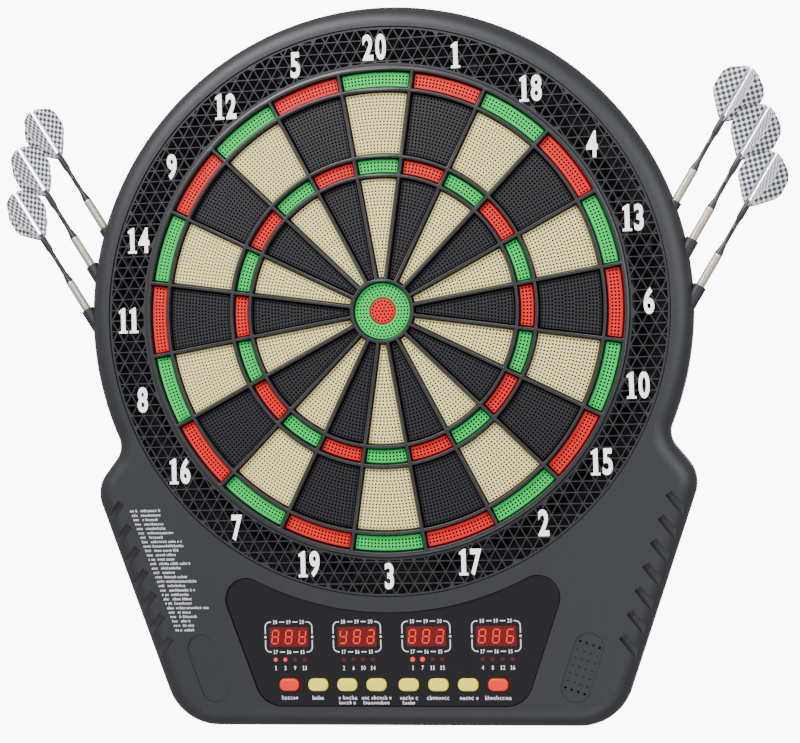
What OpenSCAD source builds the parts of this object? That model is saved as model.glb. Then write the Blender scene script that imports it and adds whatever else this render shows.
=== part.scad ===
// Electronic dartboard: a soft-tip target in a moulded housing, with a score
// panel below the target and six darts in holders on its sides.
// The back lies on the plane y = 0, the front faces -Y and +Z is up.
// X = Z = 0 is the centre of the bullseye.

/* [Housing] */
// Outer radius of the round upper part
rim_r = 220.5; // [219:0.5:222]
// Depth of the housing, back to front face
face_d = 29; // [28.5:0.5:30]
// Radius that rounds the front edge all round
edge_r = 14; // [12:0.5:14]
// Thickness of the moulded walls
wall = 2.6; // [2.2:0.1:2.8]
// Half of the width across the two shoulders
shoulder_half_w = 218.8; // [218:0.2:220]
// Height of the shoulder's arc centre, below the bullseye
shoulder_drop = 127.2; // [126:0.2:129]
// Radius of the shoulders
shoulder_r = 24; // [23:0.5:25]
// Radius of the hollow necks above the shoulders
neck_r = 15; // [14.5:0.5:16]
// Angle of the necks below the horizontal
neck_a = 23; // [22:0.5:24]
// Slant of the two sides from the vertical
side_a = 19.5; // [19:0.25:20]
// Distance from the bullseye down to the bottom edge
bottom_drop = 298; // [296:1:300]
// Radius of the two bottom corners
corner_r = 40; // [36:1:42]

/* [Target] */
// Radius at the middle of the double ring
double_r = 166.5; // [166:0.1:167]
// Radius at the middle of the treble ring
treble_r = 104.3; // [104:0.1:105]
// Radial width of a double's cell
double_w = 12.6; // [12:0.1:13]
// Radial width of a treble's cell
treble_w = 11.6; // [11:0.1:12]
// Radius of the inner bull
bull_in_r = 9.3; // [9:0.1:9.6]
// Radius of the outer bull
bull_out_r = 20.6; // [20:0.1:20.8]
// Thickness of the round ribs of the spider
ring_rib = 2.2; // [2:0.1:2.4]
// Thickness of the straight ribs of the spider
ray_rib = 2; // [1.8:0.1:2.2]
// Depth of the spider's front edge
spider_d = 30; // [29.5:0.5:30]
// Depth of the front faces of the segments
segment_d = 26; // [25.5:0.5:26]

/* [Catch ring] */
// Side of the lattice's triangles
lattice_pitch = 9; // [8.5:0.5:12]
// Thickness of the lattice's ribs
lattice_rib = 1; // [0.8:0.1:1.2]
// Radius of the opening that the catch ring fills
opening_r = 204.5; // [204:0.5:205]
// Depth of the lattice's front
lattice_d = 28; // [27.5:0.5:28.5]
// Height of the numerals
numeral_h = 18.7; // [17:0.1:19]

/* [Score panel] */
// Distance between two displays
display_pitch = 50.2; // [50:0.1:51]
// Height of the displays' centres, below the bullseye
display_drop = 232.7; // [232:0.1:233]
// Distance between two buttons on one half
button_pitch = 21.35; // [21:0.05:21.5]
// Distance between the two middle buttons
button_gap = 23.4; // [23:0.1:24]
// Height of the buttons' centres, below the bullseye
button_drop = 267; // [266.5:0.1:267.5]
// Button width
button_w = 14.4; // [14:0.1:15]
// Button height
button_h = 9; // [8.5:0.1:9.2]

/* [Darts] */
// Tilt of the darts from the vertical
dart_a = 31.6; // [31.4:0.1:31.8]
// Depth of the darts' centre lines
dart_d = 17; // [16.8:0.1:17.2]
// Barrel radius
barrel_r = 3.15; // [3:0.05:3.2]
// Barrel length
barrel_len = 42; // [41:1:43]
// Length of the soft tip in front of the barrel
tip_len = 23; // [22:1:23]
// Shaft length, of which the flight covers the last 4 mm
shaft_len = 43; // [42:1:44]
// Flight length
flight_len = 42; // [41:1:43]
// Flight width
flight_w = 36; // [34:1:36]

/* [Hidden] */
$fn = 96;
EPS = 0.01;

// Depth stack behind the target, measured from the wall
cover_t = 2.5;
plate_d = [8, 11];
membrane_t = 0.5;
foam_d = [plate_d[1] + membrane_t, 16.5];
segment_back_d = 18.5;
flange_t = 1.5;
spider_back_d = 20.3;
spider_flange_d = 22.1;
spider_flange_r = 180;
catch_flange_d = [22, 24];
stack_r = 176;
plate_r = 190;
plate_rim_r = [177, 180.5];
cell_gap = 0.4;
flange_gap = 0.35;

// Radii of the four cells of a sector, outermost first
CELLS = [
    [double_r - double_w / 2, double_r + double_w / 2],
    [treble_r + treble_w / 2 + ring_rib, double_r - double_w / 2 - ring_rib],
    [treble_r - treble_w / 2, treble_r + treble_w / 2],
    [bull_out_r + 0.4 + ring_rib, treble_r - treble_w / 2 - ring_rib]
];
spider_r = 176.1;

// Housing outline: arc centres on the right half, as [x, z]
side_n = [cos(-side_a), sin(-side_a)];
shoulder_c = [shoulder_half_w - shoulder_r, -shoulder_drop];
side_s = shoulder_c * side_n + shoulder_r;
corner_c = [(side_s - corner_r - (corner_r - bottom_drop) * side_n[1]) / side_n[0],
            corner_r - bottom_drop];
neck_c = (rim_r + neck_r) * [cos(-neck_a), sin(-neck_a)];
neck_v = neck_c - shoulder_c;
neck_line_a = atan2(neck_v[1], neck_v[0]) - acos((neck_r + shoulder_r) / norm(neck_v));

// Score window
window_r = 215.6;
window_top_r = 15.5;
window_low_r = 20;
window_low_z = -282.4;
window_top_a = -62.75;
window_top_c = (window_r + window_top_r) * [cos(window_top_a), sin(window_top_a)];
window_s = window_top_c * side_n + window_top_r;
window_low_c = [(window_s - window_low_r - (window_low_z + window_low_r) * side_n[1]) / side_n[0],
                window_low_z + window_low_r];
window_d = [25.5, 27.5];
board_d = [11.4, 13];
board_w = 200;
board_posts = [for (s = [-1, 1]) for (z = [-226, -276]) [s * 92, z]];
ribbon_w = 60;
button_top_d = 29.3;
button_flange_d = [23.9, 25.2];
switch_top_d = 18.9;
display_top_d = 25.3;
led_pitch = 7.05;
led_drop = 249;

// Grilles in the lower corners
grille_c = [135.5, -255];
grille_len = 51;
grille_w = 21;
grille_hole_r = 0.95;

// Screws and bosses, as [x, z]
cover_screws = [
    for (a = [38, 64, 90, 116, 142]) 210.5 * [cos(a), sin(a)],
    for (s = [-1, 1]) [s * 197, -128],
    for (s = [-1, 1]) [s * 168, -206],
    for (s = [-1, 1]) [s * 140, -287],
    [0, -290]
];
plate_screws = [for (k = [0:7]) 185 * [cos(22.5 + 45 * k), sin(22.5 + 45 * k)]];
boss_r = 3.2;
boss_hole_r = 1.35;
screw_r = 1.25;
head_r = 3;
head_d = [0.4, 1.9];

// Keyholes in the back
keyhole_spacing = 260;
keyhole_z = 60;
keyhole_r = 5;
keyhole_slot_r = 2.5;
keyhole_slot_len = 10;

// Numerals and side grooves
numeral_ring_r = 189.5;
groove_w = 5.6;
groove_depth = 1.6;

// Power inlet in the bottom wall
inlet_x = 60;
inlet_d = 9;
inlet_w = 12;
inlet_h = 8;
inlet_recess = 5;

// Centres of the darts' flights on the right side, as [x, z], and the flights' roll
FLIGHTS = [[254.4, 142.2], [265.3, 114.8], [269.5, 82]];
ROLLS = [20, 22, 22];
LEVELS = ["top", "middle", "low"];
sleeve_r = 4.8;
sleeve_bore_r = 3.5;
sleeve_floor = 2;
// Distance from a flight's centre down to the mouth of its sleeve
mouth_drop = 85;
barrel_top = -flight_len / 2 - shaft_len + 4;
tip_end = barrel_top - barrel_len - tip_len;

// Half of a flight's outline, as [width, height] shares of its half width and length
VANE = [
    [0.1, -0.5], [0.3, -0.43], [0.9, -0.16], [1, -0.05],
    [0.98, 0.2], [0.8, 0.33], [0.3, 0.47], [0.1, 0.5]
];

NUMBERS = [20, 1, 18, 4, 13, 6, 10, 15, 2, 17, 3, 19, 7, 16, 8, 11, 14, 9, 12, 5];

function at(c, r, a) = [c[0] + r * cos(a), c[1] + r * sin(a)];
function arc(c, r, a, b, n) = [for (k = [0:n]) at(c, r, a + (b - a) * k / n)];
function flip(p) = [-p[0], p[1]];
function loop(half) = concat(half, [for (k = [len(half) - 1:-1:0]) flip(half[k])]);
function tail(list) = [for (k = [1:len(list) - 1]) list[k]];

// Outline of the housing moved inwards by i, from the bottom right corner round to the left
function outline(i) = loop(concat(
    arc(corner_c, corner_r - i, -90, -side_a, 9),
    arc(shoulder_c, shoulder_r - i, -side_a, neck_line_a, 7),
    arc(neck_c, neck_r + i, 180 + neck_line_a, 180 - neck_a, 6),
    tail(arc([0, 0], rim_r - i, -neck_a, 89, 28))
));

// Outline of the score window moved outwards by g
function window_outline(g) = loop(concat(
    arc(window_low_c, window_low_r + g, -90, -side_a, 8),
    arc(window_top_c, window_top_r + g, -side_a, 180 + window_top_a, 12),
    tail(arc([0, 0], window_r - g, window_top_a, -88, 12))
));

// Turns a shape drawn in X and Z, with its depth upwards, to face the front
module upright() { rotate([90, 0, 0]) children(); }

module both() {
    children();
    mirror([1, 0, 0]) children();
}

module slab(d) { translate([0, 0, d[0]]) linear_extrude(d[1] - d[0]) children(); }

module post(p, r, d) { translate([p[0], p[1], d[0]]) cylinder(r = r, h = d[1] - d[0]); }

module ring(r, d) {
    slab(d) difference() {
        circle(r[1]);
        circle(r[0]);
    }
}

// Closed skin through a stack of loops, each a list of [x, y, z]; every cap is cut into level strips
module skin(rings) {
    n = len(rings[0]);
    last = (len(rings) - 1) * n;
    polyhedron(
        points = [for (r = rings) each r],
        faces = concat(
            [for (k = [0:n / 2 - 2]) [n - 1 - k, k, k + 1, n - 2 - k]],
            [for (k = [0:n / 2 - 2]) [last + k, last + n - 1 - k, last + n - 2 - k, last + k + 1]],
            [for (j = [0:len(rings) - 2]) for (k = [0:n - 1])
                [j * n + k, (j + 1) * n + k, (j + 1) * n + (k + 1) % n, j * n + (k + 1) % n]]
        )
    );
}

// Housing outline moved inwards by i, h deep, its front edge rounded by r
module rounded_body(i, r, h, floor_d) {
    levels = concat([[0, floor_d]], [for (a = [0:18:90]) [r * (1 - cos(a)), h - r + r * sin(a)]]);
    skin([for (v = levels) [for (p = outline(i + v[0])) [p[0], p[1], v[1]]]]);
}

// Pill shape in a frame tilted like the housing's sides
module pill(len, w) {
    rotate(-side_a) polygon(concat(
        arc([0, (len - w) / 2], w / 2, 0, 180, 16),
        arc([0, (w - len) / 2], w / 2, 180, 360, 16)
    ));
}

// ---- housing ----

// Wedge groove that runs out of the slanted edge on the right side
module groove(k) {
    v = side_s - 16.5;
    along = shoulder_c * [-side_n[1], side_n[0]] - 2.7 - 17.5 * k;
    p = v * side_n + along * [-side_n[1], side_n[0]];
    translate([p[0], p[1], face_d]) rotate([0, 0, -52.5]) rotate([5, 3, 0])
        translate([0, -groove_w, -groove_depth]) cube([30, groove_w, 10]);
}

module housing_shell() {
    difference() {
        rounded_body(0, edge_r, face_d, 0);
        difference() {
            rounded_body(wall, edge_r - wall, face_d - wall, -1);
            // Lip that the catch ring seats behind
            ring([opening_r - 1, opening_r + 2.4], [catch_flange_d[1], face_d]);
            // Frame around the score window
            slab([window_d[0] - 1.5, face_d]) polygon(window_outline(4));
            for (p = cover_screws) post(p, boss_r, [cover_t, face_d]);
        }
        translate([0, 0, -1]) cylinder(r = opening_r, h = face_d + 2, $fn = 240);
    }
}

module front_housing() {
    color("#4b4e57") upright() difference() {
        housing_shell();
        slab([window_d[0], face_d + 1]) polygon(window_outline(0.2));
        slab([window_d[0] - 3, face_d]) polygon(window_outline(-2));
        for (p = cover_screws) post(p, boss_hole_r, [0, 14]);
        both() for (k = [0:6]) groove(k);
        both() translate([grille_c[0], grille_c[1]]) slab([face_d - 0.8, face_d + 1]) pill(grille_len, grille_w);
        translate(grille_c) rotate(-side_a) for (i = [-1.5:1.5]) for (j = [-3:3])
            post([4.75 * i, 5.7 * j], grille_hole_r, [face_d - 5, face_d]);
        both() for (f = FLIGHTS) sleeve_tool(f, sleeve_r + 0.2, 30);
        translate([inlet_x - inlet_w / 2, -bottom_drop - 1, inlet_d - inlet_h / 2])
            cube([inlet_w, inlet_recess + 2, inlet_h]);
    }
}

module rear_cover() {
    color("#2c2d31") upright() difference() {
        union() {
            slab([0, cover_t]) polygon(outline(wall + 0.3));
            for (a = [0:45:315]) post(150 * [cos(a), sin(a)], 4, [cover_t - 0.5, plate_d[0]]);
            for (p = board_posts) post(p, 3, [cover_t - 0.5, board_d[0]]);
        }
        for (p = cover_screws) {
            post(p, screw_r + 0.25, [-1, cover_t + 1]);
            post(p, head_r + 0.3, [-1, head_d[1]]);
        }
        both() translate([keyhole_spacing / 2, keyhole_z, -1]) {
            cylinder(r = keyhole_r, h = cover_t + 2);
            translate([0, keyhole_slot_len]) cylinder(r = keyhole_slot_r, h = cover_t + 2);
            translate([-keyhole_slot_r, 0]) cube([2 * keyhole_slot_r, keyhole_slot_len, cover_t + 2]);
        }
    }
}

module cover_screws() {
    color("silver") upright() for (p = cover_screws) {
        post(p, head_r, head_d);
        post(p, screw_r, [head_d[1] - EPS, 13]);
    }
}

// ---- target ----

// Cell of a sector that lies along +X, with its straight sides moved in by gap
module cell(r, gap) {
    apex = gap / sin(9);
    intersection() {
        difference() {
            circle(r[1], $fn = 240);
            circle(r[0], $fn = 240);
        }
        polygon([[apex, 0], [apex + 200 * cos(9), -200 * sin(9)], [apex + 200 * cos(9), 200 * sin(9)]]);
    }
}

// The four segments of a sector: double, outer single, treble and inner single
module sector(k) {
    odd = k % 2;
    upright() rotate(90 - 18 * k) for (j = [0:3]) {
        c = CELLS[j];
        tint = j % 2 == 0 ? (odd == 1 ? "#e2371e" : "#50d884") : (odd == 1 ? "#26262c" : "#e6e1be");
        color(tint) {
            slab([segment_back_d, segment_d]) cell([c[0] + cell_gap, c[1] - cell_gap], ray_rib / 2 + cell_gap);
            slab([segment_back_d, segment_back_d + flange_t]) cell([c[0] - 0.7, c[1] + 0.7], flange_gap);
        }
    }
}

module outer_bull() {
    color("#50d884") upright() {
        ring([bull_in_r + cell_gap, bull_out_r], [segment_back_d, segment_d]);
        ring([bull_in_r + cell_gap, bull_out_r + 0.8], [segment_back_d, segment_back_d + flange_t]);
    }
}

module inner_bull() {
    color("#e2371e") upright() post([0, 0], bull_in_r, [segment_back_d, segment_d]);
}

module spider() {
    color("#3a3c42") upright() {
        slab([spider_back_d, spider_d]) difference() {
            circle(spider_r, $fn = 240);
            for (k = [0:19]) rotate(18 * k) for (c = CELLS) cell(c, ray_rib / 2);
            circle(bull_out_r + 0.4);
        }
        ring([spider_r - 1, spider_flange_r], [spider_back_d, spider_flange_d]);
    }
}

module triangle(side) { polygon([for (a = [90, 210, 330]) side / sqrt(3) * [cos(a), sin(a)]]); }

// Triangles of the lattice that fit whole between two radii
module lattice_cells(r) {
    h = lattice_pitch * sqrt(3) / 2;
    side = lattice_pitch - lattice_rib * sqrt(3);
    reach = side / sqrt(3);
    rows = ceil(r[1] / h);
    for (j = [-rows:rows]) for (i = [-rows:rows]) for (up = [0, 1]) {
        p = [(i + (abs(j) % 2) / 2 + (1 - up) / 2) * lattice_pitch, (j + (2 - up) / 3) * h];
        if (norm(p) > r[0] + reach && norm(p) < r[1] - reach)
            translate(p) rotate(up == 1 ? 0 : 180) triangle(side);
    }
}

module catch_ring() {
    color("#44464d") upright() difference() {
        union() {
            slab([catch_flange_d[1], lattice_d]) difference() {
                circle(opening_r - 0.3, $fn = 240);
                circle(spider_r + 0.3, $fn = 240);
                lattice_cells([spider_r + 2.3, opening_r - 2.1]);
            }
            ring([spider_r + 0.3, spider_r + 2.3], [spider_flange_d + 0.3, lattice_d]);
            ring([opening_r - 2.1, opening_r - 0.3], [catch_flange_d[0], lattice_d]);
            ring([opening_r - 1, opening_r + 2.2], catch_flange_d);
            for (p = plate_screws) post(p, boss_r, [plate_d[1], catch_flange_d[1] + 0.5]);
        }
        for (p = plate_screws) post(p, boss_hole_r, [plate_d[1] - 1, 22]);
    }
}

// Strokes of the digits: top, upper right, lower right, bottom, lower left, upper left, middle
STROKES = ["012345", "12", "01346", "01236", "1256", "02356", "023456", "012", "0123456", "012356"];

module digit(n) {
    w = numeral_h * 0.41;
    t = numeral_h * 0.13;
    h = (numeral_h - t) / 2;
    for (c = STROKES[n]) {
        s = ord(c) - ord("0");
        if (s == 0 || s == 3 || s == 6) translate([0, s == 0 ? h : s == 3 ? -h : 0]) square([w, t], center = true);
        else translate([s < 3 ? (w - t) / 2 : (t - w) / 2, s == 1 || s == 5 ? h / 2 : -h / 2])
            square([t, h + t], center = true);
    }
}

module numerals() {
    step = numeral_h * 0.25;
    color("white") upright() for (k = [0:19]) translate(numeral_ring_r * [sin(18 * k), cos(18 * k)])
        slab([lattice_d, lattice_d + 0.8]) {
            n = NUMBERS[k];
            if (n < 10) digit(n);
            else for (s = [-1, 1]) translate([s * step, 0]) digit(s < 0 ? floor(n / 10) : n % 10);
        }
}

module backing_plate() {
    color("#55524c") upright() difference() {
        union() {
            slab(plate_d) circle(plate_r, $fn = 240);
            ring(plate_rim_r, [plate_d[1] - 0.5, spider_back_d]);
        }
        for (p = plate_screws) post(p, screw_r + 0.25, [0, 12]);
        translate([-ribbon_w / 2 - 1, -plate_rim_r[1] - 2, plate_d[1]]) cube([ribbon_w + 2, 20, 1.5]);
    }
}

module plate_screws() {
    color("silver") upright() for (p = plate_screws) {
        post(p, head_r, [plate_d[0] - 1.6, plate_d[0]]);
        post(p, screw_r, [plate_d[0] - EPS, 20]);
    }
}

module sensor_membrane() {
    color("#c9c7a0") upright() slab([plate_d[1], foam_d[0]]) circle(stack_r, $fn = 240);
}

module foam_pad() { color("#1d1d20") upright() slab(foam_d) circle(stack_r, $fn = 240); }

module ribbon_cable() {
    color("#d8d5c0") upright() slab([plate_d[1], board_d[0]]) difference() {
        translate([-ribbon_w / 2, -226]) square([ribbon_w, 54]);
        circle(stack_r + 0.05, $fn = 240);
    }
}

// ---- score panel ----

function button_x(k) = (k < 5 ? -1 : 1) * (button_gap / 2 + button_pitch * (k < 5 ? 4 - k : k - 5));

module button_shape(g) {
    r = 3.9 + g;
    w = button_w + 2 * g;
    h = button_h + 2 * g;
    square([w - 2 * r, h], center = true);
    square([w, h - 2 * r], center = true);
    for (x = [-1, 1]) for (y = [-1, 1]) translate([x * (w / 2 - r), y * (h / 2 - r)]) circle(r, $fn = 48);
}

module window_panel() {
    color("#131217") upright() slab(window_d) difference() {
        polygon(window_outline(0));
        for (k = [1:8]) translate([button_x(k), -button_drop]) button_shape(0.4);
    }
}

module button(k) {
    color(k == 1 || k == 8 ? "#f05a32" : "#f5ee90") upright() translate([button_x(k), -button_drop]) {
        slab([button_flange_d[0], button_top_d]) button_shape(0);
        slab(button_flange_d) button_shape(1.2);
        post([0, 0], 2, [switch_top_d + 1.5, button_flange_d[0] + 0.5]);
    }
}

module display_modules() {
    color("#8c1a12") upright() for (s = [-1.5:1.5])
        translate([s * display_pitch, -display_drop]) slab([board_d[1], display_top_d])
            square([30, 16], center = true);
}

module player_leds() {
    color("#c02a1c") upright() for (s = [-1.5:1.5]) for (j = [-1.5:1.5])
        post([s * display_pitch + j * led_pitch, -led_drop], 1.5, [board_d[1], display_top_d]);
}

module main_board() {
    color("#1d6b3c") upright() slab(board_d) translate([-board_w / 2, -280]) square([board_w, 60]);
}

module tact_switches() {
    color("#303034") upright() for (k = [1:8]) translate([button_x(k), -button_drop]) {
        slab([board_d[1], switch_top_d - 1.5]) square(6, center = true);
        post([0, 0], 1.7, [board_d[1], switch_top_d]);
    }
}

module speaker() {
    color("#6a6a70") upright() {
        post(grille_c, 17, [18, face_d - wall]);
        post(grille_c, 9, [11, 18.5]);
    }
}

module power_inlet() {
    z = inlet_recess - bottom_drop;
    color("#202024") upright() difference() {
        translate([inlet_x - 7, z, cover_t]) cube([14, 12, 11]);
        translate([inlet_x, z - 1, inlet_d]) rotate([-90, 0, 0]) cylinder(r = 2.8, h = 10);
    }
    color("silver") upright() translate([inlet_x, z + 1, inlet_d]) rotate([-90, 0, 0])
        cylinder(r = 0.7, h = 9);
}

// ---- darts ----

// Frame of a dart: the origin at its flight's centre, +Z along it towards the flight
module along(f) { translate([f[0], f[1], dart_d]) rotate([0, 0, -dart_a]) rotate([-90, 0, 0]) children(); }

module sleeve_tool(f, r, extra) {
    along(f) translate([0, 0, tip_end - sleeve_floor - 1]) cylinder(r = r, h = -mouth_drop - tip_end + extra);
}

module dart_holder() {
    color("#3c3e45") upright() difference() {
        union() {
            for (f = FLIGHTS) along(f) translate([0, 0, tip_end - sleeve_floor - 1])
                cylinder(r = sleeve_r, h = -mouth_drop - tip_end + sleeve_floor + 1);
            for (k = [0, 1]) {
                p = FLIGHTS[k];
                q = FLIGHTS[k + 1];
                d = [sin(dart_a), cos(dart_a)];
                slab([dart_d - 1.5, dart_d + 1.5]) polygon([p - 106 * d, q - 106 * d, q - 120 * d, p - 120 * d]);
            }
        }
        for (f = FLIGHTS) along(f) translate([0, 0, tip_end - 1])
            cylinder(r = sleeve_bore_r, h = -mouth_drop - tip_end + 5);
    }
}

module vane() {
    half = flight_w / 2;
    rotate([90, 0, 0]) linear_extrude(0.6, center = true) polygon([
        for (v = VANE) [half * v[0], flight_len * v[1]],
        for (k = [len(VANE) - 1:-1:0]) [-half * VANE[k][0], flight_len * VANE[k][1]]
    ]);
}

module dart(k) {
    upright() along(FLIGHTS[k]) rotate(ROLLS[k]) {
        color("#2b2b30") rotate_extrude() polygon([
            [0, tip_end], [0.5, tip_end + 0.5], [1, tip_end + tip_len - 4],
            [1.6, tip_end + tip_len - 4], [1.6, tip_end + tip_len], [0, tip_end + tip_len]
        ]);
        color("#cdc3b4") rotate_extrude() polygon([
            [0, barrel_top - barrel_len], [2.2, barrel_top - barrel_len], [barrel_r, barrel_top - barrel_len + 4],
            [barrel_r, barrel_top - 1], [2.9, barrel_top], [0, barrel_top]
        ]);
        color("#26262b") rotate_extrude() polygon([
            [0, barrel_top], [2.9, barrel_top], [2.9, barrel_top + 1], [1.7, barrel_top + 8],
            [1.6, barrel_top + 20], [2.4, barrel_top + 30], [2.2, barrel_top + shaft_len],
            [0, barrel_top + shaft_len]
        ]);
        color("white") {
            vane();
            rotate(90) vane();
        }
    }
}

front_housing();
rear_cover();
cover_screws();
catch_ring();
numerals();
spider();
backing_plate();
plate_screws();
sensor_membrane();
foam_pad();
ribbon_cable();
for (k = [0:19]) sector(k);
outer_bull();
inner_bull();
window_panel();
display_modules();
player_leds();
main_board();
tact_switches();
for (k = [1:8]) button(k);
speaker();
power_inlet();
dart_holder();  // dart_holder_right
mirror([1, 0, 0]) dart_holder();  // dart_holder_left
for (k = [0:2]) dart(k);
for (k = [0:2]) mirror([1, 0, 0]) dart(k);
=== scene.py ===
"""Electronic dartboard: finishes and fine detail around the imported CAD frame."""

import bmesh
import bpy
import random
from math import acos, asin, atan2, cos, degrees, hypot, pi, radians, sin, sqrt
from mathutils import Matrix, Vector
from mathutils.geometry import tessellate_polygon


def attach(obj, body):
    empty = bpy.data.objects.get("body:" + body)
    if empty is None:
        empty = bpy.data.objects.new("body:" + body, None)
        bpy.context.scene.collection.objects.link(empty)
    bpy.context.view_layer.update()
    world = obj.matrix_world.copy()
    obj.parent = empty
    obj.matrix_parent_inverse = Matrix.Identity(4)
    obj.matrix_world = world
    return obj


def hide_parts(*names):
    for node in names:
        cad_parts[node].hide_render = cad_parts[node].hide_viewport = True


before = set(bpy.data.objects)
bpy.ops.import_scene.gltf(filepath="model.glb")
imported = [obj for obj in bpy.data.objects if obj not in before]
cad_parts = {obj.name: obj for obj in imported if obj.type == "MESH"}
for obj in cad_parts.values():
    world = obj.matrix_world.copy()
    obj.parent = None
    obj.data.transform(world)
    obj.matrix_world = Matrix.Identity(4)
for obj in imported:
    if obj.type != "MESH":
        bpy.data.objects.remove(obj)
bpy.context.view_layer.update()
rng = random.Random(11)
MM = 0.001

# ---------------------------------------------------------------- materials


def tone(r, g, b):
    """Linear colour from display values of 0 to 255."""
    shares = (r / 255, g / 255, b / 255)
    return tuple(c / 12.92 if c <= 0.04045 else ((c + 0.055) / 1.055) ** 2.4 for c in shares)


def material(name, colour, rough=0.5, metal=0.0, coat=0.0, grain=0.0, scale=1400.0, glow=0.0, mottle=0.0):
    m = bpy.data.materials.new(name)
    m.use_nodes = True
    t = m.node_tree
    b = t.nodes["Principled BSDF"]
    b.inputs["Base Color"].default_value = (*colour, 1)
    b.inputs["Roughness"].default_value = rough
    b.inputs["Metallic"].default_value = metal
    b.inputs["Coat Weight"].default_value = coat
    b.inputs["Coat Roughness"].default_value = 0.08
    if glow:
        b.inputs["Emission Color"].default_value = (*colour, 1)
        b.inputs["Emission Strength"].default_value = glow
    if grain or mottle:
        co = t.nodes.new("ShaderNodeTexCoord")
        n = t.nodes.new("ShaderNodeTexNoise")
        n.inputs["Scale"].default_value = scale
        n.inputs["Detail"].default_value = 3
        t.links.new(co.outputs["Object"], n.inputs["Vector"])
    if grain:
        bump = t.nodes.new("ShaderNodeBump")
        bump.inputs["Strength"].default_value = grain
        bump.inputs["Distance"].default_value = 0.0003
        t.links.new(n.outputs["Fac"], bump.inputs["Height"])
        t.links.new(bump.outputs["Normal"], b.inputs["Normal"])
    if mottle:
        wide = t.nodes.new("ShaderNodeTexNoise")
        wide.inputs["Scale"].default_value = 9
        wide.inputs["Detail"].default_value = 2
        t.links.new(co.outputs["Object"], wide.inputs["Vector"])
        ramp = t.nodes.new("ShaderNodeMapRange")
        ramp.inputs["To Min"].default_value = rough - mottle
        ramp.inputs["To Max"].default_value = rough + mottle
        t.links.new(wide.outputs["Fac"], ramp.inputs["Value"])
        t.links.new(ramp.outputs["Result"], b.inputs["Roughness"])
    return m


HOUSING = material("housing_plastic", tone(31, 32, 37), 0.48, grain=0.35, scale=2600, mottle=0.05)
COVER = material("cover_plastic", tone(52, 53, 58), 0.6, grain=0.3)
LATTICE = material("lattice_plastic", tone(40, 41, 46), 0.4, grain=0.15)
SPIDER = material("spider_plastic", tone(36, 36, 41), 0.38, grain=0.15)
# The white numerals are not lamps; their emission is a painted highlight that makes them brighter than the
# lights make them.
NUMERAL_PAINTED_GLOW = material("numeral_white", tone(255, 255, 255), 0.45, glow=0.6)
PRINT = material("printed_white", tone(226, 228, 234), 0.5)
CREAM = material("segment_cream", tone(228, 214, 146), 0.5, grain=0.1)
BLACK = material("segment_black", tone(20, 20, 25), 0.42, grain=0.1)
GREEN = material("segment_green", tone(0, 192, 78), 0.45, grain=0.1)
RED = material("segment_red", tone(214, 8, 1), 0.45, grain=0.1)
GLOSS = material("window_gloss", tone(14, 13, 18), 0.2, coat=0.2)
DISPLAY = material("display_red", tone(92, 6, 6), 0.3, glow=0.25)
UNLIT = material("digit_unlit", tone(120, 14, 10), 0.3, glow=0.3)
LIT = material("digit_lit", tone(226, 44, 20), 0.3, glow=0.7)
LED_ON = material("led_on", tone(230, 24, 20), 0.3, glow=0.8)
LED_OFF = material("led_off", tone(80, 12, 14), 0.3, glow=0.1)
BUTTON_RED = material("button_red", tone(236, 34, 6), 0.4, grain=0.05)
BUTTON_YELLOW = material("button_yellow", tone(248, 228, 62), 0.4, grain=0.05)
BARREL = material("dart_barrel", tone(205, 193, 174), 0.34, metal=0.75, grain=0.5, scale=3200)
SHAFT = material("dart_shaft", tone(38, 38, 44), 0.35, grain=0.1)
TIP = material("dart_tip", tone(34, 34, 38), 0.5)
FLIGHT_WHITE = material("flight_white", tone(240, 240, 245), 0.4)
FLIGHT_DARK = material("flight_dark", tone(52, 54, 72), 0.4)
STEEL = material("screw_steel", tone(176, 178, 182), 0.3, metal=1.0)
PLATE = material("plate_board", tone(10, 10, 11), 0.9, grain=0.2)
MEMBRANE = material("membrane_film", tone(30, 30, 28), 0.5)
FOAM = material("foam_rubber", tone(22, 22, 24), 0.9, grain=0.5)
BOARD = material("circuit_board", tone(24, 86, 50), 0.45)
SWITCH = material("switch_black", tone(36, 36, 40), 0.45)
SPEAKER = material("speaker_steel", tone(112, 113, 120), 0.35, metal=0.8)
INLET = material("inlet_black", tone(28, 28, 31), 0.4)

# ---------------------------------------------------------------- shapes


class Shape:
    """Points as (x, z, depth) in millimetres, with their faces."""

    def __init__(self):
        self.points = []
        self.faces = []

    def loop(self, pts, d):
        start = len(self.points)
        self.points += [(p[0], p[1], d) for p in pts]
        return list(range(start, start + len(pts)))

    def wall(self, a, b):
        n = len(a)
        self.faces += [(a[k], a[(k + 1) % n], b[(k + 1) % n], b[k]) for k in range(n)]

    def cap(self, outer, holes=()):
        order = list(outer) + [i for h in holes for i in h]
        loops = [[Vector((*self.points[i][:2], 0)) for i in ring] for ring in (outer, *holes)]
        self.faces += [tuple(order[i] for i in t) for t in tessellate_polygon(loops)]

    def flat(self, pts, d):
        self.faces.append(tuple(self.loop(pts, d)))

    def hole(self, pts, top, low):
        a, b = self.loop(pts, top), self.loop(pts, low)
        self.wall(a, b)
        self.faces.append(tuple(b))
        return a

    def stack(self, levels, holes=()):
        """Closed solid through loops from front to back; holes are cut into its front."""
        rings = [self.loop(p, d) for p, d in levels]
        for a, b in zip(rings, rings[1:]):
            self.wall(a, b)
        self.cap(rings[0], holes)
        self.cap(rings[-1])

    def tube(self, r0, r1, d0, d1, n=180):
        rings = [self.loop(circle(r, n), d) for r, d in ((r0, d1), (r1, d1), (r1, d0), (r0, d0))]
        for k in range(4):
            self.wall(rings[k], rings[(k + 1) % 4])

    def add(self, points, faces):
        start = len(self.points)
        self.points += points
        self.faces += [tuple(start + i for i in f) for f in faces]


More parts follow.
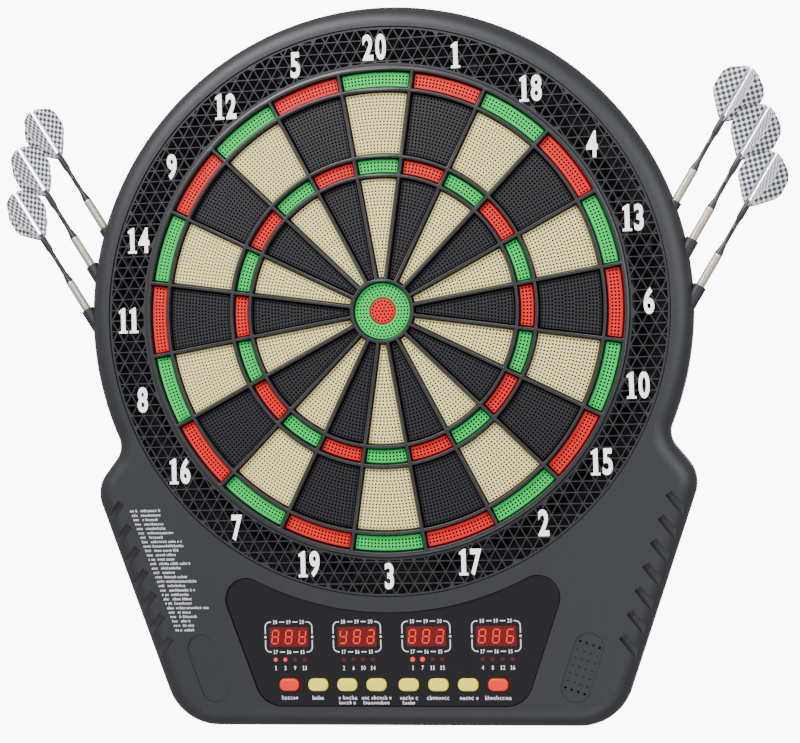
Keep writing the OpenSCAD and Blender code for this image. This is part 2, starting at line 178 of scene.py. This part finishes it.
def circle(r, n=64, c=(0, 0), turn=0.0):
    steps = [turn + 2 * pi * k / n for k in range(n)]
    return [(c[0] + r * cos(t), c[1] + r * sin(t)) for t in steps]


def arc(c, r, a, b, n):
    steps = [radians(a + (b - a) * k / n) for k in range(n + 1)]
    return [(c[0] + r * cos(t), c[1] + r * sin(t)) for t in steps]


def rounded(w, h, r, n=6, c=(0, 0)):
    pts = []
    for sx, sz, a in ((1, 1, 0), (-1, 1, 90), (-1, -1, 180), (1, -1, 270)):
        pts += arc((c[0] + sx * (w / 2 - r), c[1] + sz * (h / 2 - r)), r, a, a + 90, n)
    return pts


def piece(name, shape, mat, body, nodes=(), crease=None, more=(), index=None):
    me = bpy.data.meshes.new(name)
    me.from_pydata([(x * MM, -d * MM, z * MM) for x, z, d in shape.points], [], shape.faces)
    for m in (mat, *more):
        me.materials.append(m)
    if index:
        for poly, i in zip(me.polygons, index):
            poly.material_index = i
    o = bpy.data.objects.new(name, me)
    bpy.context.scene.collection.objects.link(o)
    finish_mesh(me, crease)
    if body:
        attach(o, body)
    if nodes:
        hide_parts(*nodes)
    return o


def finish_mesh(me, crease):
    """Normals outwards; smooth across edges flatter than crease degrees."""
    bm = bmesh.new()
    bm.from_mesh(me)
    bmesh.ops.remove_doubles(bm, verts=bm.verts, dist=1e-6)
    bmesh.ops.recalc_face_normals(bm, faces=bm.faces)
    if crease:
        for f in bm.faces:
            f.smooth = True
        for e in bm.edges:
            e.smooth = len(e.link_faces) == 2 and e.calc_face_angle(0) < radians(crease)
    bm.to_mesh(me)
    bm.free()


def dress(node, mat):
    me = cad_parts[node].data
    me.materials.clear()
    me.materials.append(mat)


# ---------------------------------------------------------------- housing

RIM, NECK, SHOULDER, CORNER = 220.5, 15.0, 24.0, 40.0
FACE, EDGE, WALL = 29.0, 14.0, 2.6
SIDE = radians(19.5)
side_n = (cos(SIDE), -sin(SIDE))
shoulder_c = (218.8 - SHOULDER, -127.2)
side_s = shoulder_c[0] * side_n[0] + shoulder_c[1] * side_n[1] + SHOULDER
corner_c = ((side_s - CORNER - (CORNER - 298) * side_n[1]) / side_n[0], CORNER - 298)
neck_c = ((RIM + NECK) * cos(radians(23)), -(RIM + NECK) * sin(radians(23)))
neck_v = (neck_c[0] - shoulder_c[0], neck_c[1] - shoulder_c[1])
neck_line = degrees(atan2(neck_v[1], neck_v[0]) - acos((NECK + SHOULDER) / hypot(*neck_v)))


def mirrored(half):
    return half + [(-x, z) for x, z in reversed(half)]


def outline(i):
    return mirrored(
        arc(corner_c, CORNER - i, -90, -19.5, 20)
        + arc(shoulder_c, SHOULDER - i, -19.5, neck_line, 16)
        + arc(neck_c, NECK + i, 180 + neck_line, 157, 14)
        + arc((0, 0), RIM - i, -23, 89.25, 80)[1:]
    )


def body_shape(i, r, h, low):
    """Housing outline moved inwards by i, h deep, its front edge rounded by r."""
    s = Shape()
    steps = [radians(a) for a in range(90, -1, -6)]
    levels = [(outline(i + r * (1 - cos(a))), h - r + r * sin(a)) for a in steps]
    s.stack(levels + [(outline(i), low)])
    return s


TOP_A, TOP_R, WINDOW_R, LOW_R, LOW_Z = -62.75, 15.5, 215.6, 20.0, -282.4
top_c = ((WINDOW_R + TOP_R) * cos(radians(TOP_A)), (WINDOW_R + TOP_R) * sin(radians(TOP_A)))
window_s = top_c[0] * side_n[0] + top_c[1] * side_n[1] + TOP_R
low_c = ((window_s - LOW_R - (LOW_Z + LOW_R) * side_n[1]) / side_n[0], LOW_Z + LOW_R)


def window_loop(g):
    return mirrored(
        arc(low_c, LOW_R + g, -90, -19.5, 16)
        + arc(top_c, TOP_R + g, -19.5, 180 + TOP_A, 24)
        + arc((0, 0), WINDOW_R - g, TOP_A, -89, 30)[1:]
    )


def leaning(x, z):
    """A point of a lower corner's recess, which leans like the housing's right side."""
    return 135.5 + x * cos(SIDE) + z * sin(SIDE), -255 - x * sin(SIDE) + z * cos(SIDE)


def pill(length, w, side):
    pts = arc((0, (length - w) / 2), w / 2, 0, 180, 20) + arc((0, (w - length) / 2), w / 2, 180, 360, 20)
    return [(side * x, z) for x, z in (leaning(*p) for p in pts)]


def groove(k, side):
    """Cutter of wedge groove k, counted from the shoulder down."""
    v = side_s - 16.5
    along = -shoulder_c[0] * side_n[1] + shoulder_c[1] * side_n[0] - 2.7 - 17.5 * k
    p = (v * side_n[0] - along * side_n[1], v * side_n[1] + along * side_n[0])
    turn = Matrix.Rotation(radians(-52.5), 4, "Z")
    turn @= Matrix.Rotation(radians(3), 4, "Y") @ Matrix.Rotation(radians(8), 4, "X")
    m = Matrix.Translation((p[0], p[1], FACE)) @ turn @ Matrix.Translation((0, -5.6, -2.6))
    s = Shape()
    for z in (0, 10):
        for x, y in ((0, 0), (30, 0), (30, 5.6), (0, 5.6)):
            q = m @ Vector((x, y, z))
            s.points.append((side * q.x, q.y, q.z))
    s.faces = [(0, 1, 2, 3), (4, 5, 6, 7), (0, 1, 5, 4), (1, 2, 6, 5), (2, 3, 7, 6), (3, 0, 4, 7)]
    return s


DART_A = radians(31.6)
FLIGHTS = [(254.4, 142.2), (265.3, 114.8), (269.5, 82.0)]
ROLLS = [20, 22, 22]
LEVELS = ["top", "middle", "low"]


def dart_point(k, side, x, y, t):
    r = radians(ROLLS[k])
    u, v = x * cos(r) - y * sin(r), x * sin(r) + y * cos(r)
    fx, fz = FLIGHTS[k]
    return (side * (fx + u * cos(DART_A) + t * sin(DART_A)), fz - u * sin(DART_A) + t * cos(DART_A), 17 - v)


def lathe(k, side, profile, n=28):
    """Solid of revolution about a dart's axis, from (radius, position) pairs."""
    s = Shape()
    rings = []
    for r, t in profile:
        start = len(s.points)
        s.points += [dart_point(k, side, x, y, t) for x, y in circle(r, n)]
        rings.append(list(range(start, start + n)))
    for a, b in zip(rings, rings[1:]):
        s.wall(a, b)
    s.faces += [tuple(rings[0]), tuple(rings[-1])]
    return s


cutters = [body_shape(5.5, EDGE - 5.5, FACE - 5.5, 4)]
low_room = Shape()
low_room.stack([(outline(WALL), 6), (outline(WALL), -1)])
cutters.append(low_room)
bore = Shape()
bore.stack([(circle(204.5, 240), FACE + 2), (circle(204.5, 240), -2)])
cutters.append(bore)
pocket = Shape()
pocket.stack([(window_loop(0.25), FACE + 2), (window_loop(0.25), FACE - 8)])
cutters.append(pocket)
for side in (1, -1):
    cutters += [groove(k, side) for k in range(7)]
    recess = Shape()
    recess.stack([(pill(51, 21, side), FACE + 2), (pill(51, 21, side), FACE - 0.8)])
    cutters.append(recess)
    for k in range(3):
        cutters.append(lathe(k, side, [(5, -127), (5, -58)]))
for i in range(4):
    for j in range(7):
        c = leaning(4.75 * (i - 1.5), 5.7 * (j - 3))
        dot = Shape()
        dot.stack([(circle(0.95, 16, c), FACE + 1), (circle(0.95, 16, c), FACE - 5)])
        cutters.append(dot)
inlet = Shape()
inlet_loop = [(54, -299), (66, -299), (66, -293), (54, -293)]
inlet.stack([(inlet_loop, 13), (inlet_loop, 5)])
cutters.append(inlet)

shell = body_shape(0, EDGE, FACE, 0)
housing = piece("housing_shell", shell, HOUSING, "housing", ["front_housing"])
tools = [piece(f"cutter_{n}", s, HOUSING, None) for n, s in enumerate(cutters)]
group = bpy.data.collections.new("cutters")
for t in tools:
    group.objects.link(t)
cut = housing.modifiers.new("cut", "BOOLEAN")
cut.operation = "DIFFERENCE"
cut.operand_type = "COLLECTION"
cut.collection = group
cut.solver = "EXACT"
bpy.context.view_layer.update()
baked = bpy.data.meshes.new_from_object(housing.evaluated_get(bpy.context.evaluated_depsgraph_get()))
housing.modifiers.remove(cut)
housing.data = baked
for t in tools:
    bpy.data.objects.remove(t)
bpy.data.collections.remove(group)
finish_mesh(housing.data, 28)
keep = housing.modifiers.new("normals", "WEIGHTED_NORMAL")
keep.keep_sharp = True

# ---------------------------------------------------------------- target

CELLS = [(160.2, 172.8), (112.3, 158.0), (98.5, 110.1), (23.2, 96.3)]
NUMBERS = [20, 1, 18, 4, 13, 6, 10, 15, 2, 17, 3, 19, 7, 16, 8, 11, 14, 9, 12, 5]
KINDS = ["double", "outer_single", "treble", "inner_single"]
ROWS = [(3, 2.4), (18, 1.0), (3, 1.9), (29, 1.2)]


def reach(r, gap):
    return radians(9) - asin(gap / r)


def cell_loop(c, inset, n=16):
    r0, r1, gap = c[0] + inset, c[1] - inset, 1 + inset
    a0, a1 = degrees(reach(r0, gap)), degrees(reach(r1, gap))
    return arc((0, 0), r1, -a1, a1, n) + arc((0, 0), r0, a0, -a0, n)


def segment(j):
    c = CELLS[j]
    s = Shape()
    rows, margin = ROWS[j]
    holes = []
    low, high = c[0] + 1.5 + margin, c[1] - 1.5 - margin
    for i in range(rows):
        r = low + (high - low) * i / (rows - 1)
        half = reach(r, 2.5) - 1.15 / r
        n = max(1, int(round(2 * half * r / 2.5)) + 1)
        for m in range(n):
            a = half * (2 * m / (n - 1) - 1) if n > 1 else 0
            holes.append(s.hole(circle(0.74, 8, (r * cos(a), r * sin(a)), a), 26, 19.5))
    s.stack([
        (cell_loop(c, 1.5), 26),
        (cell_loop(c, 1.3), 25.9),
        (cell_loop(c, 0.4), 23.6),
        (cell_loop(c, 0.4), 20),
        (cell_loop(c, -0.65), 20),
        (cell_loop(c, -0.65), 18.5),
    ], holes)
    return s


def turned(shape, a):
    s = Shape()
    ca, sa = cos(a), sin(a)
    s.points = [(x * ca - z * sa, x * sa + z * ca, d) for x, z, d in shape.points]
    s.faces = shape.faces
    return s


prototypes = [segment(j) for j in range(4)]
for k, number in enumerate(NUMBERS):
    for j in range(4):
        if j % 2 == 0:
            mat, slot = (RED, "segment_red") if k % 2 else (GREEN, "segment_green")
        else:
            mat, slot = (BLACK, "sector_dark") if k % 2 else (CREAM, "sector_light")
        piece(f"{KINDS[j]}_{number}", turned(prototypes[j], radians(90 - 18 * k)), mat,
              f"sector_{number}_body", [f"sector_{number}"])


def bull(name, inner, outer, rings, mat, flange):
    s = Shape()
    holes = []
    for r, n in rings:
        for m in range(n):
            a = 2 * pi * m / n
            holes.append(s.hole(circle(0.68, 8, (r * cos(a), r * sin(a)), a), 26, 19.5))
    if inner:
        levels = [(inner + 0.5, 26), (inner, 25.6), (inner, 18.5)]
        inside = [s.loop(circle(r, 72), d) for r, d in levels]
        for a, b in zip(inside, inside[1:]):
            s.wall(a, b)
        holes.append(inside[0])
    levels = [(outer - 0.8, 26), (outer - 0.6, 25.9), (outer, 25), (outer, 20)]
    levels += [(outer + flange, 20), (outer + flange, 18.5)]
    rim = [s.loop(circle(r, 72), d) for r, d in levels]
    for a, b in zip(rim, rim[1:]):
        s.wall(a, b)
    s.cap(rim[0], holes)
    s.cap(rim[-1], [inside[-1]] if inner else ())
    piece(name, s, mat, name + "_body", [name])


bull("outer_bull", 9.7, 20.6, [(18.3, 45), (16.1, 39), (13.9, 33), (11.7, 27)], GREEN, 0.8)
bull("inner_bull", 0, 9.3, [(7.3, 19), (4.9, 12), (2.5, 6), (0, 1)], RED, 0)

web = Shape()
fronts, backs = [], []
for k in range(20):
    for c in CELLS:
        rings = []
        for grow, d in ((-0.4, 30), (-0.12, 29.88), (0, 29.6), (0, 20.3)):
            loop = cell_loop(c, grow)
            a = radians(18 * k)
            rings.append(web.loop([(x * cos(a) - z * sin(a), x * sin(a) + z * cos(a)) for x, z in loop], d))
        for a, b in zip(rings, rings[1:]):
            web.wall(a, b)
        fronts.append(rings[0])
        backs.append(rings[-1])
hub = [web.loop(circle(r, 72), d) for r, d in ((21.4, 30), (21.12, 29.88), (21, 29.6), (21, 20.3))]
for a, b in zip(hub, hub[1:]):
    web.wall(a, b)
rim_steps = ((175.7, 30), (176.1, 29.6), (176.1, 22.1), (180, 22.1), (180, 20.3))
rim = [web.loop(circle(r, 240), d) for r, d in rim_steps]
for a, b in zip(rim, rim[1:]):
    web.wall(a, b)
web.cap(rim[0], fronts + [hub[0]])
web.cap(rim[-1], backs + [hub[-1]])
piece("spider_web", web, SPIDER, "housing", ["spider"], crease=50)

# ---------------------------------------------------------------- catch ring


def clipped(poly, nx, nz, limit):
    """The part of a convex polygon where nx x + nz z <= limit."""
    out = []
    for p, q in zip(poly, poly[1:] + poly[:1]):
        a, b = p[0] * nx + p[1] * nz - limit, q[0] * nx + q[1] * nz - limit
        if a <= 0:
            out.append(p)
        if a * b < 0:
            f = a / (a - b)
            out.append((p[0] + (q[0] - p[0]) * f, p[1] + (q[1] - p[1]) * f))
    return out


def area(poly):
    return abs(sum(p[0] * q[1] - q[0] * p[1] for p, q in zip(poly, poly[1:] + poly[:1]))) / 2


PITCH, RIB = 9.0, 0.85
lattice = Shape()
tops, lows = [], []
row_h = PITCH * sqrt(3) / 2
corner = (PITCH - RIB * sqrt(3)) / sqrt(3)
for j in range(-28, 29):
    for i in range(-28, 29):
        for up in (0, 1):
            x = (i + (abs(j) % 2) / 2 + (1 - up) / 2) * PITCH
            z = (j + (2 - up) / 3) * row_h
            r = hypot(x, z)
            if not 172 < r < 208:
                continue
            cell = [(x + corner * cos(radians(a)), z + corner * sin(radians(a)))
                    for a in ((90, 210, 330) if up else (270, 30, 150))]
            ux, uz = x / r, z / r
            cell = clipped(clipped(cell, ux, uz, 202.6), -ux, -uz, -178.1)
            if len(cell) > 2 and area(cell) > 2:
                grown = cell
                if len(cell) == 3 and 182 < r < 198:
                    grown = [((p[0] - x) * 1.06 + x, (p[1] - z) * 1.06 + z) for p in cell]
                a, b, c = lattice.loop(grown, 28), lattice.loop(cell, 27.7), lattice.loop(cell, 24)
                lattice.wall(a, b)
                lattice.wall(b, c)
                tops.append(a)
                lows.append(c)
ring_out = [lattice.loop(circle(r, 240), d) for r, d in ((203.9, 28), (204.2, 27.7), (204.2, 24))]
ring_in = [lattice.loop(circle(r, 240), d) for r, d in ((176.6, 28), (176.4, 27.8), (176.4, 24))]
for rings in (ring_out, ring_in):
    for a, b in zip(rings, rings[1:]):
        lattice.wall(a, b)
lattice.cap(ring_out[0], tops + [ring_in[0]])
lattice.cap(ring_out[-1], lows + [ring_in[-1]])
piece("catch_lattice", lattice, LATTICE, "housing", ["catch_ring"])
under = Shape()
under.tube(176.4, 178.4, 22.4, 24)
under.tube(202.4, 204.2, 22, 24)
under.tube(204.2, 206.7, 22, 24)
for k in range(8):
    c = (185 * cos(radians(22.5 + 45 * k)), 185 * sin(radians(22.5 + 45 * k)))
    under.stack([(circle(3.2, 32, c), 24), (circle(3.2, 32, c), 11)])
piece("catch_frame", under, LATTICE, "housing", ["catch_ring"])

# ---------------------------------------------------------------- lettering


# The digit one with a foot, one unit high
ONE = [
    (0, 0), (0.56, 0), (0.56, 0.09), (0.42, 0.09), (0.42, 1), (0.3, 1),
    (0.02, 0.88), (0.02, 0.78), (0.15, 0.81), (0.15, 0.09), (0, 0.09),
]


def glyph(char, weight, cache={}):
    """Points and faces of one character, one unit high, with its width."""
    if char == "1":
        return ONE, [tuple(range(len(ONE)))], 0.56
    if (char, weight) not in cache:
        cu = bpy.data.curves.new("glyph", "FONT")
        cu.body = char
        cu.offset = weight
        cu.resolution_u = 6
        o = bpy.data.objects.new("glyph", cu)
        bpy.context.scene.collection.objects.link(o)
        bpy.context.view_layer.update()
        me = bpy.data.meshes.new_from_object(o.evaluated_get(bpy.context.evaluated_depsgraph_get()))
        xs = [v.co.x for v in me.vertices]
        ys = [v.co.y for v in me.vertices]
        h = max(ys) - min(ys)
        pts = [((v.co.x - min(xs)) / h, (v.co.y - min(ys)) / h) for v in me.vertices]
        cache[char, weight] = (pts, [tuple(p.vertices) for p in me.polygons], (max(xs) - min(xs)) / h)
        bpy.data.objects.remove(o)
        bpy.data.curves.remove(cu)
        bpy.data.meshes.remove(me)
    return cache[char, weight]


def write(shape, text, x, z, h, d, squeeze=0.8, gap=0.16, thick=0.0, weight=0.012):
    widths = [glyph(c, weight)[2] * h * squeeze for c in text]
    total = sum(widths) + gap * h * (len(text) - 1)
    left = x - total / 2
    for c, w in zip(text, widths):
        pts, faces, _ = glyph(c, weight)
        front = [(left + px * h * squeeze, z - h / 2 + pz * h, d) for px, pz in pts]
        shape.add(front, faces)
        if thick:
            count = {}
            for f in faces:
                for p, q in zip(f, f[1:] + f[:1]):
                    count[tuple(sorted((p, q)))] = count.get(tuple(sorted((p, q))), 0) + 1
            edge = [e for e, n in count.items() if n == 1]
            back = [(px, pz, d - thick) for px, pz, _ in front]
            shape.add(front + back, [(p, q, q + len(front), p + len(front)) for p, q in edge])
        left += w + gap * h


numerals = Shape()
for k, number in enumerate(NUMBERS):
    a = radians(18 * k)
    x, z = 189.5 * sin(a), 189.5 * cos(a)
    write(numerals, str(number), x, z, 18.7, 28.8, squeeze=0.62, gap=0.09, thick=0.8, weight=0.032)
# The numerals use the white with painted glow, a painted highlight.
piece("numerals_white", numerals, NUMERAL_PAINTED_GLOW, "housing", ["numerals"])

# ---------------------------------------------------------------- score panel

panel = Shape()
buttons_x = [(-1 if k < 5 else 1) * (11.7 + 21.35 * (4 - k if k < 5 else k - 5)) for k in range(1, 9)]
openings = [rounded(15.2, 9.8, 4.3, 8, (x, -267)) for x in buttons_x]
loops = [panel.loop(p, 27.5) for p in openings]
loops_back = [panel.loop(p, 25.5) for p in openings]
for a, b in zip(loops, loops_back):
    panel.wall(a, b)
edge = [panel.loop(window_loop(g), d) for g, d in ((-0.4, 27.5), (0, 27.2), (0, 25.5))]
for a, b in zip(edge, edge[1:]):
    panel.wall(a, b)
panel.cap(edge[0], loops)
panel.cap(edge[-1], loops_back)
piece("score_window", panel, GLOSS, "housing", ["window_panel"])

for k, x in enumerate(buttons_x, 1):
    s = Shape()
    levels = [(1.3 * (1 - cos(radians(a))), 28 + 1.3 * sin(radians(a))) for a in range(90, -1, -15)]
    s.stack([(rounded(14.4 - 2 * g, 9 - 2 * g, 3.9 - g, 8, (x, -267)), d) for g, d in levels]
            + [(rounded(14.4, 9, 3.9, 8, (x, -267)), 25.2), (rounded(16.8, 11.4, 5.1, 8, (x, -267)), 25.2),
               (rounded(16.8, 11.4, 5.1, 8, (x, -267)), 23.9)])
    s.stack([(circle(2, 24, (x, -267)), 24.4), (circle(2, 24, (x, -267)), 20.4)])
    red = k in (1, 8)
    piece(f"key_{k}", s, BUTTON_RED if red else BUTTON_YELLOW, f"button_{k}_body", [f"button_{k}"],
          crease=40)

INK = 27.56
ink = Shape()
screens, unlit, lit, leds_on, leds_off = Shape(), Shape(), Shape(), Shape(), Shape()
# Side, height and whether it lies level, of each of a digit's seven segments
SEGMENTS = {
    "a": (0, 1, 1), "b": (1, 0.5, 0), "c": (1, -0.5, 0), "d": (0, -1, 1),
    "e": (-1, -0.5, 0), "f": (-1, 0.5, 0), "g": (0, 0, 1),
}
# Segments that glow, digit by digit from the left
GLOW = [
    "abcdefg", "abcdefg", "bcdefg", "bcdfg", "abcdefg", "abcdeg",
    "abcdefg", "abcdefg", "abcdeg", "abcdefg", "abcdefg", "acdefg",
]


def bar(shape, p, q, w, d):
    """Flat strip between two points."""
    vx, vz = q[0] - p[0], q[1] - p[1]
    n = hypot(vx, vz)
    ox, oz = -vz / n * w / 2, vx / n * w / 2
    ends = [(p[0] + ox, p[1] + oz), (p[0] - ox, p[1] - oz), (q[0] - ox, q[1] - oz), (q[0] + ox, q[1] + oz)]
    shape.flat(ends, d)


def line(shape, path, w, d):
    for p, q in zip(path, path[1:]):
        bar(shape, p, q, w, d)


def seven(shape, x, z, names):
    for n in names:
        sx, sz, level = SEGMENTS[n]
        cx, cz = x + sx * 2.3 + sz * 0.5, z + sz * 4.7
        if level:
            pts = [(-2.0, 0), (-1.5, 0.5), (1.5, 0.5), (2.0, 0), (1.5, -0.5), (-1.5, -0.5)]
        else:
            pts = [(0, 2.1), (0.5, 1.6), (0.4, -1.6), (0, -2.1), (-0.5, -1.6), (-0.4, 1.6)]
        shape.flat([(cx + p + q * 0.1, cz + q) for p, q in pts], INK + 0.04)


for s in range(4):
    cx, cz = 50.2 * (s - 1.5), -232.7
    screens.flat(rounded(28.4, 14, 0.6, 3, (cx, cz)), INK - 0.02)
    for n in range(3):
        x = cx + 10 * (n - 1)
        on = GLOW[3 * s + n]
        seven(lit, x, cz, on)
        seven(unlit, x, cz, [c for c in "abcdefg" if c not in on])
    for sx in (1, -1):
        for sz in (1, -1):
            path = [(17.3, 2.2)] + arc((13.8, 7.25), 3.5, 0, 90, 6) + [(12.9, 10.75)]
            line(ink, [(cx + sx * x, cz + sz * z) for x, z in path], 0.75, INK)
        bar(ink, (cx + sx * 17.3 - 0.75, cz), (cx + sx * 17.3 + 0.75, cz), 1.5, INK)
    for x, top, low in ((-9.9, "18", "17"), (0, "19", "16"), (9.9, "20", "15")):
        write(ink, top, cx + x, cz + 10.8, 2.8, INK, 0.8)
        write(ink, low, cx + x, cz - 10.8, 2.8, INK, 0.8)
    for sx in (1, -1):
        for sz in (1, -1):
            bar(ink, (cx + sx * 3, cz + sz * 10.8), (cx + sx * 6.8, cz + sz * 10.8), 0.75, INK)
    for n in range(4):
        x = cx + (-10.1, -3, 4.1, 11.2)[n]
        spot = leds_on if s in (0, 2) and n < 2 else leds_off
        spot.flat(circle(1.75 if s == 2 and n < 2 else 1.5, 20, (x, -249)), INK)
        write(ink, str(1 + s + 4 * n), x, -255, 3.0, INK, 0.8)


def greek(shape, x, z, length, h, d):
    """A run of small marks that only looks like a line of print."""
    end = x + length
    while x < end - h * 0.3:
        w = h * rng.uniform(0.42, 0.62)
        tall = h * rng.choice((0.72, 0.72, 0.72, 1.0))
        low = z - h / 2
        bar(shape, (x + h * 0.09, low), (x + h * 0.09, low + tall), h * 0.2, d)
        kind = rng.randrange(4)
        if kind != 1:
            bar(shape, (x, low + h * 0.64), (x + w, low + h * 0.64), h * 0.17, d)
        if kind != 2:
            bar(shape, (x, low + h * 0.1), (x + w, low + h * 0.1), h * 0.17, d)
        if kind != 3:
            bar(shape, (x + w - h * 0.09, low), (x + w - h * 0.09, low + h * 0.7), h * 0.2, d)
        x += w + h * 0.2
        if rng.random() < 0.13:
            x += h * 0.4


for k, (x, w) in enumerate(zip(buttons_x, (11.5, 9, 13, 22, 13, 17, 12.5, 19))):
    greek(ink, x - w / 2, -276.3, w, 2.9, INK)
    if k in (2, 3, 4):
        w = (12.5, 20, 9.5)[k - 2]
        greek(ink, x - w / 2, -279.8, w, 2.6, INK)
piece("panel_print", ink, PRINT, "housing")
piece("panel_screens", screens, DISPLAY, "housing")
piece("digits_dim", unlit, UNLIT, "housing")
piece("digits_lit", lit, LIT, "housing")
piece("lamps_lit", leds_on, LED_ON, "housing")
piece("lamps_dim", leds_off, LED_OFF, "housing")

table = Shape()
greek(table, -192, -139.7, 5, 2.2, FACE + 0.05)
greek(table, -184, -139.7, 15, 2.2, FACE + 0.05)
for n in range(27):
    x, z = -190.6 + 1.19 * n, -143.1 - 3.225 * n
    greek(table, x, z, 5, 2.1, FACE + 0.05)
    greek(table, x + 6.9, z, rng.choice((8, 11, 13, 15, 18, 20, 24)), 2.1, FACE + 0.05)
piece("side_print", table, PRINT, "housing")

# ---------------------------------------------------------------- darts

# Half of a flight's outline, as shares of its half width and its length
VANE = [
    (0.1, -0.5), (0.3, -0.43), (0.9, -0.16), (1, -0.05),
    (0.98, 0.2), (0.8, 0.33), (0.3, 0.47), (0.1, 0.5),
]
CHECK = 2.6


def flight(k, side):
    s = Shape()
    index = []
    outer = [(18 * a, 42 * b) for a, b in VANE]
    for turn in range(4):
        q = turn * pi / 2

        def place(x, y, t):
            return dart_point(k, side, x * cos(q) - y * sin(q), x * sin(q) + y * cos(q), t)

        for i in range(7):
            for j in range(-9, 9):
                cell = [(CHECK * (i + a), CHECK * (j + b)) for a, b in ((0, 0), (1, 0), (1, 1), (0, 1))]
                for p, r in zip(outer, outer[1:] + outer[:1]):
                    nx, nz = r[1] - p[1], p[0] - r[0]
                    cell = clipped(cell, nx, nz, p[0] * nx + p[1] * nz) if cell else cell
                if len(cell) < 3 or area(cell) < 0.02:
                    continue
                for y in (-0.3, 0.3):
                    start = len(s.points)
                    s.points += [place(a, y, b) for a, b in cell]
                    s.faces.append(tuple(range(start, start + len(cell))))
                    index.append((i + j) % 2)
        for p, r in zip(outer, outer[1:] + outer[:1]):
            start = len(s.points)
            s.points += [place(a, y, b) for (a, b), y in ((p, -0.3), (r, -0.3), (r, 0.3), (p, 0.3))]
            s.faces.append((start, start + 1, start + 2, start + 3))
            index.append(0)
    return s, index


barrel = [(2.2, -102), (3.0, -99)]
t = -98.0
while t < -62:
    barrel += [(3.15, t), (3.15, t + 0.7), (2.98, t + 0.85), (2.98, t + 1.15)]
    t += 1.3
barrel += [(3.15, t), (3.15, -61), (2.9, -60)]
shaft = [(2.9, -60), (2.9, -59), (1.7, -52), (1.6, -40), (1.75, -39.5)]
shaft += [(1.6, -39), (1.7, -33), (2.4, -30), (2.4, -22), (2.2, -17)]
tip = [(0.25, -125), (0.5, -124.4), (1, -106), (1.6, -106), (1.6, -102)]
for side, where in ((1, "right"), (-1, "left")):
    for k in range(3):
        node = f"dart_{where}_{LEVELS[k]}"
        body = node + "_body"
        piece(node + "_barrel", lathe(k, side, barrel), BARREL, body, [node], crease=30)
        piece(node + "_shaft", lathe(k, side, shaft), SHAFT, body, [node], crease=30)
        piece(node + "_tip", lathe(k, side, tip, 16), TIP, body, [node], crease=30)
        s, index = flight(k, side)
        piece(node + "_flight", s, FLIGHT_WHITE, body, [node], more=(FLIGHT_DARK,), index=index)

# ---------------------------------------------------------------- CAD pieces shown as they are

for name, mat in {
    "rear_cover": COVER, "cover_screws": STEEL, "backing_plate": PLATE, "plate_screws": STEEL,
    "sensor_membrane": MEMBRANE, "foam_pad": FOAM, "ribbon_cable": MEMBRANE, "display_modules": DISPLAY,
    "player_leds": LED_OFF, "main_board": BOARD, "tact_switches": SWITCH, "speaker": SPEAKER,
    "power_inlet": INLET, "dart_holder_right": HOUSING, "dart_holder_left": HOUSING,
}.items():
    dress(name, mat)

# ---------------------------------------------------------------- studio

# The backdrop stands far behind, so that it hides nothing from a view of the back
back = bpy.data.meshes.new("backdrop")
back.from_pydata([(-2.1, 3, -1.5), (1.1, 3, -1.5), (1.1, 3, 1.5), (-2.1, 3, 1.5)], [], [(0, 1, 2, 3)])
back.materials.append(material("backdrop_white", (1, 1, 1), 0.9, glow=9.0))
backdrop = bpy.data.objects.new("backdrop", back)
bpy.context.scene.collection.objects.link(backdrop)

world = bpy.data.worlds.new("studio")
bpy.context.scene.world = world
world.use_nodes = True
world.node_tree.nodes["Background"].inputs["Color"].default_value = (1, 1, 1, 1)
world.node_tree.nodes["Background"].inputs["Strength"].default_value = 0.5


def lamp(name, at, size, power, target=(0, 0, -0.03)):
    data = bpy.data.lights.new(name, "AREA")
    data.shape = "RECTANGLE"
    data.size, data.size_y = size
    data.energy = power
    o = bpy.data.objects.new(name, data)
    bpy.context.scene.collection.objects.link(o)
    o.location = at
    o.rotation_euler = (Vector(target) - Vector(at)).to_track_quat("-Z", "Y").to_euler()


lamp("key", (-0.9, -1.7, 1.6), (1.2, 1.0), 92)
lamp("fill", (1.5, -1.6, 0.5), (1.4, 1.4), 32)
lamp("low", (0.1, -1.6, -1.5), (1.6, 0.7), 14)

eye = bpy.data.cameras.new("camera")
eye.sensor_width = 36
eye.lens = 78.06
eye.clip_start = 0.01
camera = bpy.data.objects.new("camera", eye)
bpy.context.scene.collection.objects.link(camera)
right = (0.983937, 0.176179, -0.028818)
up = (0.031629, -0.013162, 0.999413)
away = (0.175696, -0.984270, -0.018523)
pose = Matrix((right, up, away)).transposed().to_4x4()
pose.translation = (0.22964, -1.24778, -0.06674)
camera.matrix_world = pose
bpy.context.scene.camera = camera
